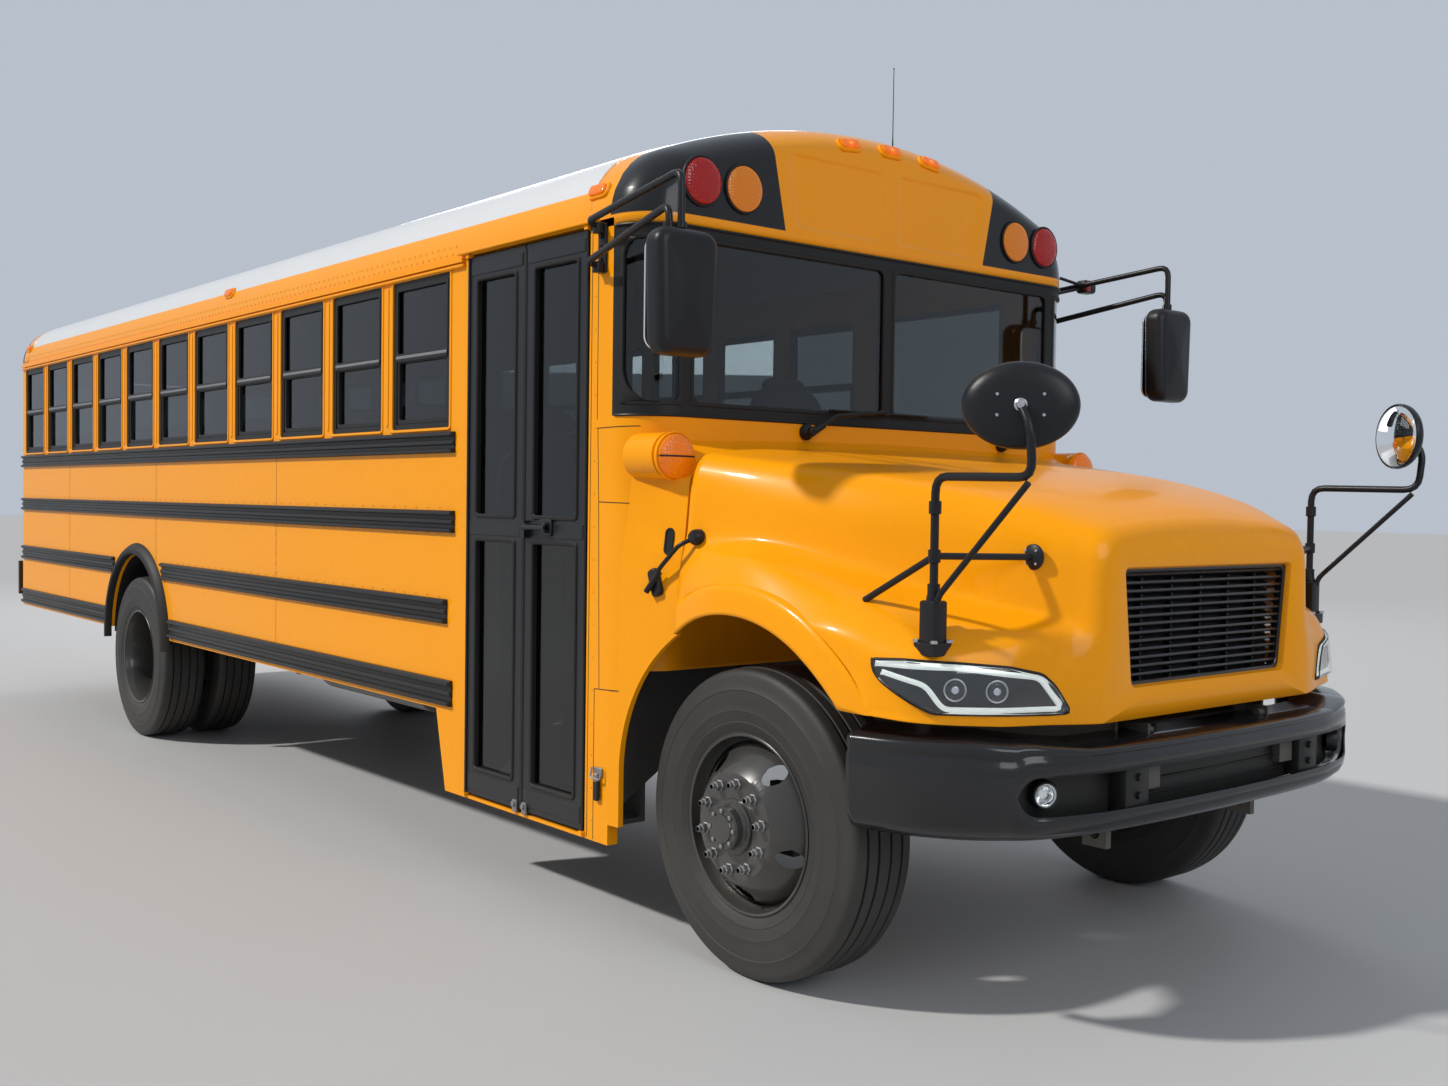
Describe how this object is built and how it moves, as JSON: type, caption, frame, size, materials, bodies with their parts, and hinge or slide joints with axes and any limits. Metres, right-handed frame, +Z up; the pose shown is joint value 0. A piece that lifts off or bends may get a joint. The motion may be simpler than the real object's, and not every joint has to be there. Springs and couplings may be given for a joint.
{
  "type": "school bus",
  "caption": "Long-nosed school bus: tilting hood, two-leaf entrance door, rear door, roof hatches, stop arm, steered front wheels and dual rear wheels.",
  "frame": {"origin": "on the ground, in the middle of the bus's overall length and width", "axes": "+Z up, +Y towards the rear, +X towards the bus's left side"},
  "size_m": [2.96, 10.33, 3.4963],
  "materials": {
    "body_yellow": "glossy",
    "roof_white": "glossy",
    "floor_rubber": "matte",
    "window_glass": "tinted",
    "black_trim": "satin",
    "black_rubber": "matte",
    "black_steel": "satin",
    "engine_iron": "rough",
    "tank_metal": "satin",
    "seat_vinyl": "satin",
    "lamp_red": "glossy",
    "lamp_amber": "glossy",
    "lamp_clear": "glossy",
    "stop_red": "glossy",
    "tyre_rubber": "matte",
    "wheel_black": "glossy"
  },
  "bodies": {
    "bus_body": {"side_wall_right": "body_yellow", "side_wall_left": "body_yellow", "roof_shell": "roof_white", "front_cap": "body_yellow", "rear_cap": "body_yellow", "cowl": "body_yellow", "rear_wall": "body_yellow", "floor_deck": "floor_rubber", "entrance_steps": "floor_rubber", "windscreen_frame": "black_trim", "windscreen_glass": "window_glass", "window_sashes": "black_trim", "window_glass": "window_glass", "frame_rails": "black_steel", "cross_members": "black_steel", "outriggers": "black_steel", "front_bumper": "black_trim", "rear_bumper": "black_steel", "rub_rails": "black_rubber", "front_axle": "black_steel", "rear_axle": "black_steel", "prop_shaft": "black_steel", "engine_block": "engine_iron", "fuel_tank": "tank_metal", "battery_box": "black_trim", "exhaust_pipe": "tank_metal", "bench_seats": "seat_vinyl", "driver_seat": "seat_vinyl", "dashboard": "black_trim", "steering_wheel": "black_trim", "side_mirrors": "black_trim", "lamps_red": "lamp_red", "lamps_amber": "lamp_amber", "rear_fenders": "black_rubber", "stop_arm_mount": "black_steel", "antenna": "black_trim"},
    "hood": {"hood": "body_yellow", "grille": "black_trim", "headlamps": "lamp_clear", "crossover_mirrors": "black_trim"},
    "door_leaf_front": {"door_leaf_front": "black_trim", "door_glass_front": "window_glass"},
    "door_leaf_rear": {"door_leaf_rear": "black_trim", "door_glass_rear": "window_glass"},
    "rear_door": {"rear_door": "body_yellow", "rear_door_glass": "window_glass"},
    "roof_hatch_front": {"roof_hatch_front": "roof_white"},
    "roof_hatch_rear": {"roof_hatch_rear": "roof_white"},
    "stop_arm": {"stop_arm": "stop_red"},
    "knuckle_left": {"knuckle_left": "black_steel"},
    "knuckle_right": {"knuckle_right": "black_steel"},
    "tie_rod": {"tie_rod": "black_steel"},
    "wheel_front_left": {"tyre_front_left": "tyre_rubber", "rim_front_left": "wheel_black"},
    "wheel_front_right": {"tyre_front_right": "tyre_rubber", "rim_front_right": "wheel_black"},
    "wheel_rear_left": {"tyres_rear_left": "tyre_rubber", "rims_rear_left": "wheel_black"},
    "wheel_rear_right": {"tyres_rear_right": "tyre_rubber", "rims_rear_right": "wheel_black"}
  },
  "joints": [
    {"name": "steer_left", "type": "hinge", "parent": "bus_body", "child": "knuckle_left", "pos_m": [0.88, -3.965, 0.516], "axis": [0, 0, 1], "range_deg": [-42, 42]},
    {"name": "steer_right", "type": "hinge", "parent": "bus_body", "child": "knuckle_right", "pos_m": [-0.88, -3.965, 0.516], "axis": [0, 0, 1], "range_deg": [-42, 42]},
    {"name": "tie_rod_pivot", "type": "hinge", "parent": "knuckle_left", "child": "tie_rod", "pos_m": [0.88, -3.775, 0.372], "axis": [0, 0, 1], "range_deg": [-42, 42]},
    {"name": "spin_front_left", "type": "hinge", "parent": "knuckle_left", "child": "wheel_front_left", "pos_m": [1.01, -3.965, 0.516], "axis": [1, 0, 0], "continuous": true},
    {"name": "spin_front_right", "type": "hinge", "parent": "knuckle_right", "child": "wheel_front_right", "pos_m": [-1.01, -3.965, 0.516], "axis": [1, 0, 0], "continuous": true},
    {"name": "spin_rear_left", "type": "hinge", "parent": "bus_body", "child": "wheel_rear_left", "pos_m": [0.9165, 2.029, 0.516], "axis": [1, 0, 0], "continuous": true},
    {"name": "spin_rear_right", "type": "hinge", "parent": "bus_body", "child": "wheel_rear_right", "pos_m": [-0.9165, 2.029, 0.516], "axis": [1, 0, 0], "continuous": true},
    {"name": "hood_tilt", "type": "hinge", "parent": "bus_body", "child": "hood", "pos_m": [0, -4.94, 0.885], "axis": [1, 0, 0], "range_deg": [0, 60]},
    {"name": "door_front_swing", "type": "hinge", "parent": "bus_body", "child": "door_leaf_front", "pos_m": [-1.222, -3.131, 1.4], "axis": [0, 0, 1], "range_deg": [0, 85]},
    {"name": "door_rear_swing", "type": "hinge", "parent": "bus_body", "child": "door_leaf_rear", "pos_m": [-1.222, -2.262, 1.4], "axis": [0, 0, -1], "range_deg": [0, 85]},
    {"name": "rear_door_swing", "type": "hinge", "parent": "bus_body", "child": "rear_door", "pos_m": [-0.418, 5.068, 1.7], "axis": [0, 0, 1], "range_deg": [0, 110]},
    {"name": "hatch_front_tilt", "type": "hinge", "parent": "bus_body", "child": "roof_hatch_front", "pos_m": [0, -1, 3.0823], "axis": [1, 0, 0], "range_deg": [0, 80]},
    {"name": "hatch_rear_tilt", "type": "hinge", "parent": "bus_body", "child": "roof_hatch_rear", "pos_m": [0, 2.5, 3.0823], "axis": [1, 0, 0], "range_deg": [0, 80]},
    {"name": "stop_arm_swing", "type": "hinge", "parent": "bus_body", "child": "stop_arm", "pos_m": [1.271, -2.835, 1.64], "axis": [0, 0, -1], "range_deg": [0, 90]}
  ],
  "couplings": [
    {"joint": "steer_right", "follows": "steer_left", "ratio": 1},
    {"joint": "tie_rod_pivot", "follows": "steer_left", "ratio": -1}
  ]
}
